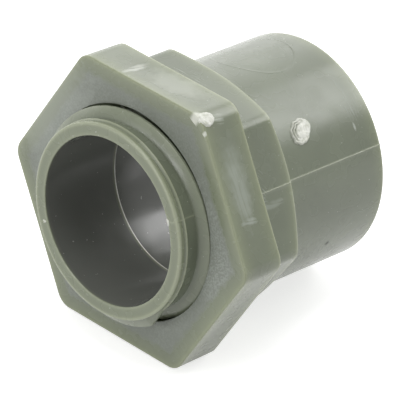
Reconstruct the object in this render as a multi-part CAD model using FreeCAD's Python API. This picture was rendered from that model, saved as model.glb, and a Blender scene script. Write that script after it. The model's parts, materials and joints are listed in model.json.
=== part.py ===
"""Conduit connector of two mouldings: a body with a threaded spigot, a hexagonal flange and a plain socket,
and the hexagonal locknut that screws on the spigot.

Both pieces are built upright about the Z axis, with Z = 0 on the flange face that meets the box wall, the
spigot below it and the socket above it. They are then laid down together as the connector comes to rest:
on one flat of the locknut and on the rim of the socket.
"""

import FreeCAD, Part
import math
import os

from FreeCAD import Placement, Rotation, Vector

# Thread on the spigot, right-handed and coarse
thread_diameter = 21.3
thread_depth = 1.03
thread_pitch = 2.4
thread_crest_width = 0.25
thread_flank_angle = 30.0
thread_start_angle = 24.0
thread_start_setback = 0.92

# Spigot
spigot_length = 7.9
spigot_wall = 1.22
mouth_outer_chamfer = 0.15
mouth_inner_chamfer = 0.1
mouth_land_height = 0.13
mouth_land_length = 0.5
pilot_bead_setback = 0.9
pilot_bead_width = 0.4
pilot_bead_height = 0.2
pilot_bead_crown = 0.1

# Flange
flange_ledge = 0.5
flange_thickness = 5.25
flange_corner_round = 1.2
flange_chamfer_angle = 28.0

# Socket for the conduit
socket_length = 12.7
socket_root_wall = 2.15
socket_end_wall = 2.1
socket_stop_height = 0.7
socket_stop_setback = 1.45
socket_stop_chamfer = 0.15
socket_rim_chamfer = 0.12
socket_lead_in = 0.6

# Locknut
nut_wall = 2.75
nut_thickness = 4.8
nut_draft_angle = 1.2
nut_corner_round = 1.8
nut_rim_chamfer = 0.15
nut_thread_clearance = 0.1
nut_countersink = 0.1
nut_seat_gap = 0.15

# Turn of the body about its axis away from the locknut's flats, degrees
body_turn_from_nut = 6.1

# Overlap of joined features and run-out of cutting shapes past the faces they cut
root_overlap = 0.3
cut_margin = 1.0

# Worked out from the sizes above: radii outwards from the thread, then places along the axis
thread_crest_r = thread_diameter / 2
thread_root_r = thread_crest_r - thread_depth
spigot_bore_r = thread_root_r - spigot_wall
mouth_land_r = thread_root_r + mouth_land_height
socket_bore_r = spigot_bore_r + socket_stop_height
socket_root_r = socket_bore_r + socket_root_wall
socket_end_r = socket_bore_r + socket_end_wall
flange_apothem = socket_root_r + flange_ledge
nut_bore_r = thread_crest_r + nut_thread_clearance
nut_apothem = nut_bore_r + nut_wall
flange_rear = flange_thickness
socket_end = flange_thickness + socket_length
nut_rear = -nut_seat_gap
nut_front = nut_rear - nut_thickness


def rounded_wire(corners, radius):
    """Closed wire through the corner points, each corner a tangent arc of the one radius."""
    arcs = []
    for index, corner in enumerate(corners):
        back = (corners[index - 1] - corner).normalize()
        ahead = (corners[(index + 1) % len(corners)] - corner).normalize()
        half_angle = back.getAngle(ahead) / 2
        setback = radius / math.tan(half_angle)
        middle = corner + (back + ahead).normalize() * (radius / math.sin(half_angle) - radius)
        arcs.append((corner + back * setback, middle, corner + ahead * setback))
    edges = []
    for index, (start, middle, end) in enumerate(arcs):
        next_start = arcs[(index + 1) % len(arcs)][0]
        edges.append(Part.Arc(start, middle, end).toShape())
        edges.append(Part.LineSegment(end, next_start).toShape())
    return Part.Wire(edges)


def revolved(outline):
    """Solid turned about Z from the (radius, height) corners of a closed outline."""
    points = [Vector(r, 0, z) for r, z in outline]
    section = Part.Face(Part.makePolygon(points + points[:1]))
    return section.revolve(Vector(0, 0, 0), Vector(0, 0, 1), 360)


def hexagon(apothem, corner_round, height):
    """Hexagon at one height with rounded corners, two of its flats facing along Y."""
    corner_radius = apothem / math.cos(math.radians(30))
    corners = []
    for step in range(6):
        angle = math.radians(60 * step)
        corners.append(Vector(corner_radius * math.cos(angle), corner_radius * math.sin(angle), height))
    return rounded_wire(corners, corner_round)


def turned_core():
    """Spigot, middle and socket as one turned tube, with its two bores and the stop between them."""
    mouth = -spigot_length
    return revolved([
        (spigot_bore_r, mouth + mouth_inner_chamfer),
        (spigot_bore_r + mouth_inner_chamfer, mouth),
        (mouth_land_r - mouth_outer_chamfer, mouth),
        (mouth_land_r, mouth + mouth_outer_chamfer),
        (mouth_land_r, mouth + mouth_land_length),
        (thread_root_r, mouth + mouth_land_length + mouth_land_height),
        (thread_root_r, 0),
        (socket_root_r, 0),
        (socket_root_r, flange_rear),
        (socket_end_r, socket_end - socket_rim_chamfer),
        (socket_end_r - socket_rim_chamfer, socket_end),
        (socket_bore_r + socket_lead_in, socket_end),
        (socket_bore_r, socket_end - socket_lead_in),
        (socket_bore_r, socket_stop_setback),
        (spigot_bore_r + socket_stop_chamfer, socket_stop_setback),
        (spigot_bore_r, socket_stop_setback - socket_stop_chamfer),
    ])


def pilot_bead():
    """Low ring near the mouth that leads the locknut on."""
    middle = -spigot_length + pilot_bead_setback
    bead_r = thread_root_r + pilot_bead_height
    half_crown = pilot_bead_crown / 2
    flank = (pilot_bead_width / 2 - half_crown) / pilot_bead_height
    half_base = half_crown + flank * (pilot_bead_height + root_overlap)
    return revolved([
        (thread_root_r - root_overlap, middle - half_base),
        (bead_r, middle - half_crown),
        (bead_r, middle + half_crown),
        (thread_root_r - root_overlap, middle + half_base),
    ])


def flange():
    """Hexagonal flange whose rear corners are turned off by a cone."""
    across_corners_r = flange_apothem / math.cos(math.radians(30))
    cone_drop = (across_corners_r - flange_apothem) * math.tan(math.radians(flange_chamfer_angle))
    turned = revolved([
        (thread_root_r, 0),
        (across_corners_r, 0),
        (across_corners_r, flange_rear - cone_drop),
        (flange_apothem, flange_rear),
        (thread_root_r, flange_rear),
    ])
    outline = hexagon(flange_apothem, flange_corner_round, 0)
    return Part.Face(outline).extrude(Vector(0, 0, flange_rear)).common(turned)


def thread_ridge():
    """Right-hand thread ridge that runs from near the mouth into the flange, its start cut to a tangent flat."""
    half_crest = thread_crest_width / 2
    half_base = half_crest + (thread_depth + root_overlap) * math.tan(math.radians(thread_flank_angle))
    start = -spigot_length + thread_start_setback
    end = half_base
    inner = thread_root_r - root_overlap
    helix = Part.makeHelix(thread_pitch, end - start, inner)
    helix.translate(Vector(0, 0, start))
    profile = Part.makePolygon([
        Vector(inner, 0, start - half_base),
        Vector(thread_crest_r, 0, start - half_crest),
        Vector(thread_crest_r, 0, start + half_crest),
        Vector(inner, 0, start + half_base),
        Vector(inner, 0, start - half_base),
    ])
    ridge = Part.Wire(helix.Edges).makePipeShell([profile], True, True)
    run_in = math.sqrt(thread_crest_r ** 2 - thread_root_r ** 2)
    cutter = Part.makeBox(
        thread_depth + cut_margin, run_in + cut_margin, 2 * half_base + thread_pitch / 2,
        Vector(thread_root_r, -cut_margin, start - half_base - thread_pitch / 4),
    )
    ridge = ridge.cut(cutter)
    ridge.rotate(Vector(0, 0, 0), Vector(0, 0, 1), thread_start_angle)
    return ridge


def connector_body():
    """The one-piece body: turned core, pilot bead, flange and thread."""
    body = turned_core()
    for feature in (flange(), pilot_bead(), thread_ridge()):
        body = body.fuse(feature)
    body = body.removeSplitter()
    body.rotate(Vector(0, 0, 0), Vector(0, 0, 1), body_turn_from_nut)
    return body


def locknut():
    """The one-piece hexagonal locknut: flats drafted wider to the front, rims broken, hole countersunk."""
    flare = nut_thickness * math.tan(math.radians(nut_draft_angle))
    front = hexagon(nut_apothem + flare, nut_corner_round, nut_front)
    rear = hexagon(nut_apothem, nut_corner_round, nut_rear)
    blank = Part.makeLoft([front, rear], True, True)
    rims = [edge for edge in blank.Edges if edge.BoundBox.ZLength < nut_rim_chamfer]
    blank = blank.makeChamfer(nut_rim_chamfer, rims)
    wide = nut_bore_r + nut_countersink
    hole = revolved([
        (0, nut_front - cut_margin),
        (wide + cut_margin, nut_front - cut_margin),
        (nut_bore_r, nut_front + nut_countersink),
        (nut_bore_r, nut_rear - nut_countersink),
        (wide + cut_margin, nut_rear + cut_margin),
        (0, nut_rear + cut_margin),
    ])
    return blank.cut(hole)


def resting_lean():
    """Angle in degrees by which the mouth is raised when the nut's flat edge and the socket's rim both touch."""
    drop = nut_apothem - socket_end_r
    return math.degrees(math.atan2(drop, socket_end - nut_rear))


def laid_down(shape):
    """The upright shape turned about the flange face's centre to its resting pose, the socket along +Y."""
    lay_down = Placement(Vector(0, 0, 0), Rotation(Vector(1, 0, 0), -90 - resting_lean()))
    resting = shape.copy()
    resting.Placement = lay_down * shape.Placement
    return resting


def main():
    """Write one STEP file for each piece."""
    os.makedirs("parts", exist_ok=True)
    pieces = {"connector_body": connector_body(), "locknut": locknut()}
    for name, shape in pieces.items():
        solid = laid_down(shape)
        solid.exportStep(f"parts/{name}.step")
        print(name, "solids", len(solid.Solids), "valid", solid.isValid(), "volume", round(solid.Volume, 2))
    print("resting lean", round(resting_lean(), 3))


main()
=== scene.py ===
"""Looks of a plastic conduit connector: one moulded body with a threaded spigot, and its hexagonal locknut.

Every shape is drawn upright, in millimetres: Z runs along the bore towards the socket and Z = 0 is the
flange face that meets the box wall. RestingPose then lays it down in the row frame, in metres.
"""

import json
import logging
import math
from dataclasses import dataclass, field
from enum import Enum

import bpy
import numpy as np
from mathutils import Matrix, Vector, noise


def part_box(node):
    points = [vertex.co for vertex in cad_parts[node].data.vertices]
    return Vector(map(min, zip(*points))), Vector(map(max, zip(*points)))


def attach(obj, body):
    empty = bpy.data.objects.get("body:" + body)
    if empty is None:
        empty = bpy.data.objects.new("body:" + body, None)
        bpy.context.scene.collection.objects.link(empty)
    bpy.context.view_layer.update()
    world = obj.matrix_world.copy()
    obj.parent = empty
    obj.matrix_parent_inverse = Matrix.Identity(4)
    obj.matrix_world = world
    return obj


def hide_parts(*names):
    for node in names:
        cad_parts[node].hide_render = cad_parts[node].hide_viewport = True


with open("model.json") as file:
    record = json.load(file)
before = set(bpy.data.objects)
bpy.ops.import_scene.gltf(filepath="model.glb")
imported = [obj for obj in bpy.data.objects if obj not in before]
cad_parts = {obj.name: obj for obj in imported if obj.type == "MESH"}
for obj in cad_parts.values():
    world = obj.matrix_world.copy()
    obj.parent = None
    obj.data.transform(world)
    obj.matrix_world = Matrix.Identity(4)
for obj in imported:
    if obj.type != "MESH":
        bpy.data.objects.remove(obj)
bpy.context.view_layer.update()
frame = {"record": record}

MM = 0.001
TURN = 2 * math.pi
HEX_STEP = TURN / 6
# The body's two bores are nearer to the axis than this, and its outer walls are further out
OUTER_WALL_R = 9.4
Shade = tuple[int, int, int]
WHITE = (1.0, 1.0, 1.0, 1.0)
log = logging.getLogger("connector")


class Body(Enum):
    """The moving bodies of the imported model."""

    CONNECTOR = "connector_body"
    NUT = "locknut"


class Slot(Enum):
    """The record's material slots."""

    CONNECTOR = "body_plastic"
    NUT = "locknut_plastic"


class ThreadSide(Enum):
    """Which way a thread ridge stands, as the turn of its section in radians."""

    OUTWARD = -math.pi / 2
    INWARD = math.pi / 2


@dataclass(frozen=True)
class RestingPose:
    """How the upright drawing lies in the row frame."""

    lean: float

    @classmethod
    def from_record(cls, record: dict) -> "RestingPose":
        """Read the lean from the socket's axis.

        Args:
            record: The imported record.

        Returns:
            The pose in which both pieces lie.
        """
        axis = mount_of(record, "conduit_socket")["axis"]
        return cls(math.atan2(-axis[2], axis[1]))

    def matrix(self) -> Matrix:
        """Matrix from the upright drawing in millimetres to the row frame in metres."""
        return Matrix.Rotation(-math.pi / 2 - self.lean, 4, "X") @ Matrix.Scale(MM, 4)


@dataclass(frozen=True)
class ThreadSizes:
    """The spigot's thread, in millimetres and degrees."""

    crest_r: float
    spigot_length: float
    depth: float = 1.03
    pitch: float = 2.4
    crest_width: float = 0.25
    flank_angle: float = 30.0
    start_angle: float = 24.0
    start_setback: float = 0.92

    @property
    def root_r(self) -> float:
        """Radius of the spigot between the ridges."""
        return self.crest_r - self.depth

    def base_width(self, height: float) -> float:
        """Width of the ridge at a depth of height under its crest."""
        return self.crest_width + 2 * height * math.tan(math.radians(self.flank_angle))


def mount_of(record: dict, name: str) -> dict:
    """The record's mount of that name."""
    return next(mount for mount in record["mounts"] if mount["name"] == name)


def hexagon_radius(angle: np.ndarray, apothem: float, corner_round: float) -> np.ndarray:
    """Radius of a hexagon with rounded corners, whose first corner is at angle 0.

    Args:
        angle: Angles about the axis, in radians.
        apothem: Distance from the axis to a flat.
        corner_round: Radius of the rounded corners.

    Returns:
        The radius at each angle.
    """
    from_corner = (angle + HEX_STEP / 2) % HEX_STEP - HEX_STEP / 2
    centre = (apothem - corner_round) / math.cos(HEX_STEP / 2)
    from_flat = HEX_STEP / 2 - np.abs(from_corner)
    flat = apothem / np.cos(from_flat)
    flat_end = math.atan2((apothem - corner_round) * math.tan(HEX_STEP / 2), apothem)
    inside = np.clip(corner_round**2 - (centre * np.sin(from_corner)) ** 2, 0, None)
    rounded = centre * np.cos(from_corner) + np.sqrt(inside)
    return np.where(from_flat < flat_end, flat, rounded)


def column_angles(corner_span: float, seams: tuple[float, ...]) -> np.ndarray:
    """Angles of a piece's columns: even, finer round the hexagon's corners and beside each seam.

    Args:
        corner_span: Half the angle round each corner that is drawn finely, in radians.
        seams: Angles of the parting lines, in radians.

    Returns:
        Sorted angles from 0 up to one turn.
    """
    even_step, corner_columns, closest = 1.25, 17, math.radians(0.05)
    even = np.radians(np.arange(0.0, 360.0, even_step))
    round_corner = np.linspace(-corner_span, corner_span, corner_columns)
    fine = [step * HEX_STEP + round_corner for step in range(6)]
    beside = np.radians([-0.6, -0.35, -0.2, -0.1, 0.0, 0.1, 0.2, 0.35, 0.6])
    near_seams = [seam + beside for seam in seams]
    angles = np.unique(np.round(np.concatenate([even, *fine, *near_seams]) % TURN, 6))
    gaps = np.diff(np.append(angles, angles[0] + TURN))
    return angles[gaps > closest]


@dataclass(frozen=True)
class Bend:
    """A corner of a turned or hexagonal section, as radius and height at every column.

    Args:
        r: Radius, one value or one for each column.
        z: Height, one value or one for each column.
        ease: Distance from the corner at which its round starts.
        steps: Rows through the round.
        rows: Rows on the straight stretch that follows.
        edge: How much painted edge light this corner gets, 0 for none: a painted glow as of light coming
            through the plastic and a painted highlight on its round, with a painted glint above 1.1.
        rim: How much painted glow the band beside it gets.
    """

    r: np.ndarray | float
    z: np.ndarray | float
    ease: float = 0.0
    steps: int = 4
    rows: int = 2
    edge: float = 1.0
    rim: float = 1.0


@dataclass
class Loft:
    """A closed ring of sections about the axis, as radius and height in rows and columns.

    Args:
        angles: The columns' angles, in radians.
        bends: Corners of the section, in order round it.
        edge_reach: Distance over which the light at an edge falls off, in millimetres.
        rim_reach: The same for the band beside it.
    """

    angles: np.ndarray
    bends: list[Bend]
    edge_reach: float = 0.11
    rim_reach: float = 0.9
    r: np.ndarray = field(init=False)
    z: np.ndarray = field(init=False)
    marks: dict[str, np.ndarray] = field(init=False)

    def __post_init__(self) -> None:
        """Lay out the rows through every bend and the straight stretches between them."""
        count = len(self.angles)
        corners = [np.stack([np.full(count, b.r), np.full(count, b.z)], -1) for b in self.bends]
        rows, at_edge, at_rim = [], [], []
        entries = [self._toward(corners, index, index - 1) for index in range(len(corners))]
        exits = [self._toward(corners, index, index + 1) for index in range(len(corners))]
        for index, bend in enumerate(self.bends):
            steps = bend.steps if bend.ease else 0
            for t in np.linspace(0, 1, steps + 1) if steps else [0.5]:
                lead_in = (1 - t) ** 2 * entries[index] + 2 * t * (1 - t) * corners[index]
                rows.append(lead_in + t**2 * exits[index])
                at_edge.append(bend.edge)
                at_rim.append(bend.rim if bend.edge else 0.0)
            following = entries[(index + 1) % len(corners)]
            for step in range(1, bend.rows + 1):
                share = (1 - math.cos(math.pi * step / (bend.rows + 1))) / 2
                rows.append(exits[index] * (1 - share) + following * share)
                at_edge.append(0.0)
                at_rim.append(0.0)
        stack = np.array(rows)
        self.r, self.z = stack[..., 0], stack[..., 1]
        self.marks = {
            "edge": self._closeness(stack, np.array(at_edge), self.edge_reach),
            "rim": self._closeness(stack, np.array(at_rim), self.rim_reach),
        }

    def _toward(self, corners: list[np.ndarray], index: int, other: int) -> np.ndarray:
        """Point at the bend's ease from its corner, towards another corner.

        Args:
            corners: Radius and height of every corner, in columns.
            index: The corner's number.
            other: The other corner's number.

        Returns:
            Radius and height of the point, in columns.
        """
        most = 0.45
        step = corners[other % len(corners)] - corners[index]
        length = np.linalg.norm(step, axis=1, keepdims=True)
        return corners[index] + step / length * np.minimum(self.bends[index].ease, most * length)

    def _closeness(self, stack: np.ndarray, strength: np.ndarray, reach: float) -> np.ndarray:
        """How close each point is to an outside edge.

        Args:
            stack: Radius and height of every point.
            strength: Strength of each row's edge, 0 where it has none.
            reach: Distance over which the closeness falls off, in millimetres.

        Returns:
            The closeness, from 0 up to the edge's strength at the edge itself.
        """
        steps = np.linalg.norm(np.diff(stack, axis=0, append=stack[:1]), axis=-1)
        along = np.cumsum(steps, axis=0) - steps
        girth = steps.sum(axis=0)
        at_edge = strength > 0
        apart = np.abs(along[:, None, :] - along[None, at_edge, :])
        apart = np.minimum(apart, girth - apart)
        return (strength[at_edge][None, :, None] * np.exp(-((apart / reach) ** 2))).max(axis=1)

    def mesh(self, name: str, turn: float = 0.0) -> bpy.types.Mesh:
        """Make the mesh of quads, closed both ways and facing outwards.

        Args:
            name: The mesh's name.
            turn: Turn of the whole piece about its axis, in radians.

        Returns:
            The mesh, upright and in millimetres.
        """
        angle = self.angles + turn
        points = np.stack([self.r * np.cos(angle), self.r * np.sin(angle), self.z], -1)
        index = np.arange(self.r.size).reshape(self.r.shape)
        beside, above = np.roll(index, -1, axis=1), np.roll(index, -1, axis=0)
        across = np.roll(beside, -1, axis=0)
        quads = np.stack([index, beside, across, above], -1).reshape(-1, 4)
        mesh = bpy.data.meshes.new(name)
        mesh.from_pydata(points.reshape(-1, 3), [], quads.tolist())
        for label, values in self.marks.items():
            attribute = mesh.attributes.new(label, "FLOAT", "POINT")
            attribute.data.foreach_set("value", values.ravel().astype(np.float32))
        mesh.shade_smooth()
        return mesh


class NodeSheet:
    """Adds nodes to one tree and joins them."""

    def __init__(self, tree: bpy.types.NodeTree) -> None:
        """Start from an empty tree."""
        self.tree = tree
        tree.nodes.clear()

    def feed(self, socket: bpy.types.NodeSocket, value: object) -> None:
        """Link a socket's value, or set it where the value is a constant.

        Args:
            socket: The input to feed.
            value: Another node's output, or a constant.
        """
        if isinstance(value, bpy.types.NodeSocket):
            self.tree.links.new(value, socket)
        else:
            socket.default_value = value

    def add(self, kind: str, inputs: dict | None = None, **settings: object) -> bpy.types.Node:
        """Add a node.

        Args:
            kind: The node's type.
            inputs: Values or sockets by input name or index.
            settings: The node's own properties.

        Returns:
            The node.
        """
        node = self.tree.nodes.new(kind)
        for name, value in settings.items():
            setattr(node, name, value)
        for key, value in (inputs or {}).items():
            self.feed(node.inputs[key], value)
        return node

    def math(self, operation: str, *values: object) -> bpy.types.NodeSocket:
        """Result of a Math node on sockets or numbers."""
        node = self.add("ShaderNodeMath", dict(enumerate(values)), operation=operation)
        return node.outputs[0]

    def length(self, first: object, second: object) -> bpy.types.NodeSocket:
        """Length of the long side of a right triangle over two short ones."""
        squares = self.math("MULTIPLY_ADD", first, first, self.math("MULTIPLY", second, second))
        return self.math("SQRT", squares)

    def split(self, vector: bpy.types.NodeSocket) -> bpy.types.NodeOutputs:
        """The X, Y and Z of a vector."""
        return self.add("ShaderNodeSeparateXYZ", {"Vector": vector}).outputs

    def attribute(self, name: str) -> bpy.types.NodeSocket:
        """A mesh's attribute of that name, for a material."""
        return self.add("ShaderNodeAttribute", attribute_name=name).outputs["Fac"]

    def between(self, value: object, low: float, high: float) -> bpy.types.NodeSocket:
        """Value mapped smoothly from low..high to 0..1 and kept within them."""
        limits = {"Value": value, "From Min": low, "From Max": high}
        return self.add("ShaderNodeMapRange", limits, interpolation_type="SMOOTHSTEP").outputs["Result"]

    def noise(self, where: bpy.types.NodeSocket, scale: float, detail: float = 3.0) -> bpy.types.NodeSocket:
        """Noise on the given coordinates, from 0 to 1 about a middle of one half."""
        kept = {"Vector": where, "Scale": scale, "Detail": detail, "Roughness": 0.55}
        return self.add("ShaderNodeTexNoise", kept).outputs["Fac"]

    def mix(self, share: object, first: object, second: object) -> bpy.types.NodeSocket:
        """Colour between two colours.

        Args:
            share: How much of the second colour shows, from 0 to 1.
            first: The colour at 0.
            second: The colour at 1.

        Returns:
            The mixed colour.
        """
        node = self.add("ShaderNodeMix", data_type="RGBA")
        for name, value in (("Factor_Float", share), ("A_Color", first), ("B_Color", second)):
            self.feed(next(s for s in node.inputs if s.identifier == name), value)
        return next(s for s in node.outputs if s.identifier == "Result_Color")


def srgb(red: int, green: int, blue: int, shaded: float = 1.0) -> tuple[float, float, float, float]:
    """Linear colour of a screen colour written from 0 to 255, made darker or lighter by a factor."""
    linear = [((c / 255 + 0.055) / 1.055) ** 2.4 if c > 10 else c / 255 / 12.92 for c in (red, green, blue)]
    return (*(shaded * c for c in linear), 1.0)


def empty_material(name: str) -> tuple[bpy.types.Material, NodeSheet]:
    """Make a material without nodes.

    Args:
        name: The material's name.

    Returns:
        The material, and the sheet that its nodes go on.
    """
    material = bpy.data.materials.new(name)
    material.use_nodes = True
    return material, NodeSheet(material.node_tree)


@dataclass(frozen=True)
class Side:
    """A spot on one side of a piece, seen square on.

    Args:
        facing: Direction of that side, in degrees about the axis.
        across: The spot's place along the side, in millimetres, towards larger angles.
        height: The spot's height.
        beyond: Distance from the axis, towards the facing, past which the side starts.
    """

    facing: float
    across: float
    height: float
    beyond: float = 4.0

    def apart(
        self, sheet: NodeSheet, where: bpy.types.NodeSocket
    ) -> tuple[bpy.types.NodeSocket, bpy.types.NodeSocket, bpy.types.NodeSocket]:
        """Distances from the spot.

        Args:
            sheet: The material's sheet.
            where: Upright coordinates in millimetres.

        Returns:
            The distance across, the distance along the axis, and 1 on this side's outer wall, else 0.
        """
        turn = math.radians(self.facing)
        x, y, z = sheet.split(where)
        across = sheet.math("MULTIPLY_ADD", x, -math.sin(turn), -self.across)
        across = sheet.math("MULTIPLY_ADD", y, math.cos(turn), across)
        out = sheet.math("MULTIPLY_ADD", y, math.sin(turn), sheet.math("MULTIPLY", x, math.cos(turn)))
        this_side = sheet.math("GREATER_THAN", out, self.beyond)
        outer = sheet.math("GREATER_THAN", sheet.length(y, x), OUTER_WALL_R)
        return across, sheet.math("SUBTRACT", z, self.height), sheet.math("MULTIPLY", this_side, outer)


@dataclass(frozen=True)
class ScuffOrSheen:
    """A pale patch of fine scratches where the surface is roughened, or with no fineness a plain smear;
    some plain ones are painted highlights.

    Args:
        spot: Its middle.
        reach: Half its size across and along the axis, in millimetres.
        slant: Direction of its scratches from across, in degrees.
        strength: Most that its colour covers.
        fineness: Scratches to the millimetre, 0 for a plain smear.
        colour: Screen colour of the scratches.
        density: How close together the scratches are, from 0 for few to 1 for all over.
    """

    spot: Side
    reach: tuple[float, float]
    slant: float = 0.0
    strength: float = 0.5
    fineness: float = 5.0
    colour: Shade = (196, 203, 196)
    density: float = 0.35

    def cover(self, sheet: NodeSheet, where: bpy.types.NodeSocket) -> bpy.types.NodeSocket:
        """Share of the scratches' colour at each place.

        Args:
            sheet: The material's sheet.
            where: Upright coordinates in millimetres.

        Returns:
            The share, from 0 to the strength.
        """
        ragged_scale, ragged_by, faded, full = 1.1, 0.8, 1.4, 0.7
        across, along, outer = self.spot.apart(sheet, where)
        wide, tall = (sheet.math("DIVIDE", v, r) for v, r in zip((across, along), self.reach))
        ragged = sheet.noise(where, ragged_scale, 3.0)
        spread = sheet.math("MULTIPLY_ADD", ragged, ragged_by, sheet.length(wide, tall))
        cover = sheet.math("MULTIPLY", sheet.between(spread, faded, full), outer)
        if self.fineness:
            cover = sheet.math("MULTIPLY", cover, self._scratches(sheet, across, along))
        return sheet.math("MULTIPLY", cover, self.strength)

    def _scratches(
        self, sheet: NodeSheet, across: bpy.types.NodeSocket, along: bpy.types.NodeSocket
    ) -> bpy.types.NodeSocket:
        """Fine parallel scratches at the slant, noise drawn out along it.

        Args:
            sheet: The material's sheet.
            across: Distance across the side from the patch's middle.
            along: Distance along the axis from it.

        Returns:
            1 on a scratch, 0 between scratches.
        """
        drawn_out, sparse, filled, soft = 0.1, 0.64, 0.4, 0.2
        turn = math.radians(self.slant)
        cosine, sine = math.cos(turn), math.sin(turn)
        with_it = sheet.math("MULTIPLY_ADD", along, sine, sheet.math("MULTIPLY", across, cosine))
        over_it = sheet.math("MULTIPLY_ADD", along, cosine, sheet.math("MULTIPLY", across, -sine))
        lines = sheet.add(
            "ShaderNodeCombineXYZ", {"X": sheet.math("MULTIPLY", with_it, drawn_out), "Y": over_it}
        ).outputs[0]
        low = sparse - filled * self.density
        return sheet.between(sheet.noise(lines, self.fineness, 3.0), low, low + soft)


@dataclass(frozen=True)
class InsertRing:
    """The fine raised line that a round, bare mould insert leaves on a wall.

    Args:
        spot: The ring's middle.
        radius: Its radius, in millimetres.
        width: Width of the line.
        rise: Height of the line.
    """

    spot: Side
    radius: float
    width: float = 0.3
    rise: float = 0.03

    def relief(self, sheet: NodeSheet, where: bpy.types.NodeSocket) -> bpy.types.NodeSocket:
        """Height of the line.

        Args:
            sheet: The material's sheet.
            where: Upright coordinates in millimetres.

        Returns:
            The height in millimetres at each place.
        """
        across, along, outer = self.spot.apart(sheet, where)
        off = sheet.math("ABSOLUTE", sheet.math("SUBTRACT", sheet.length(across, along), self.radius))
        line = sheet.math("MULTIPLY", sheet.between(off, self.width / 2, 0.0), outer)
        return sheet.math("MULTIPLY", line, self.rise)


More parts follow.
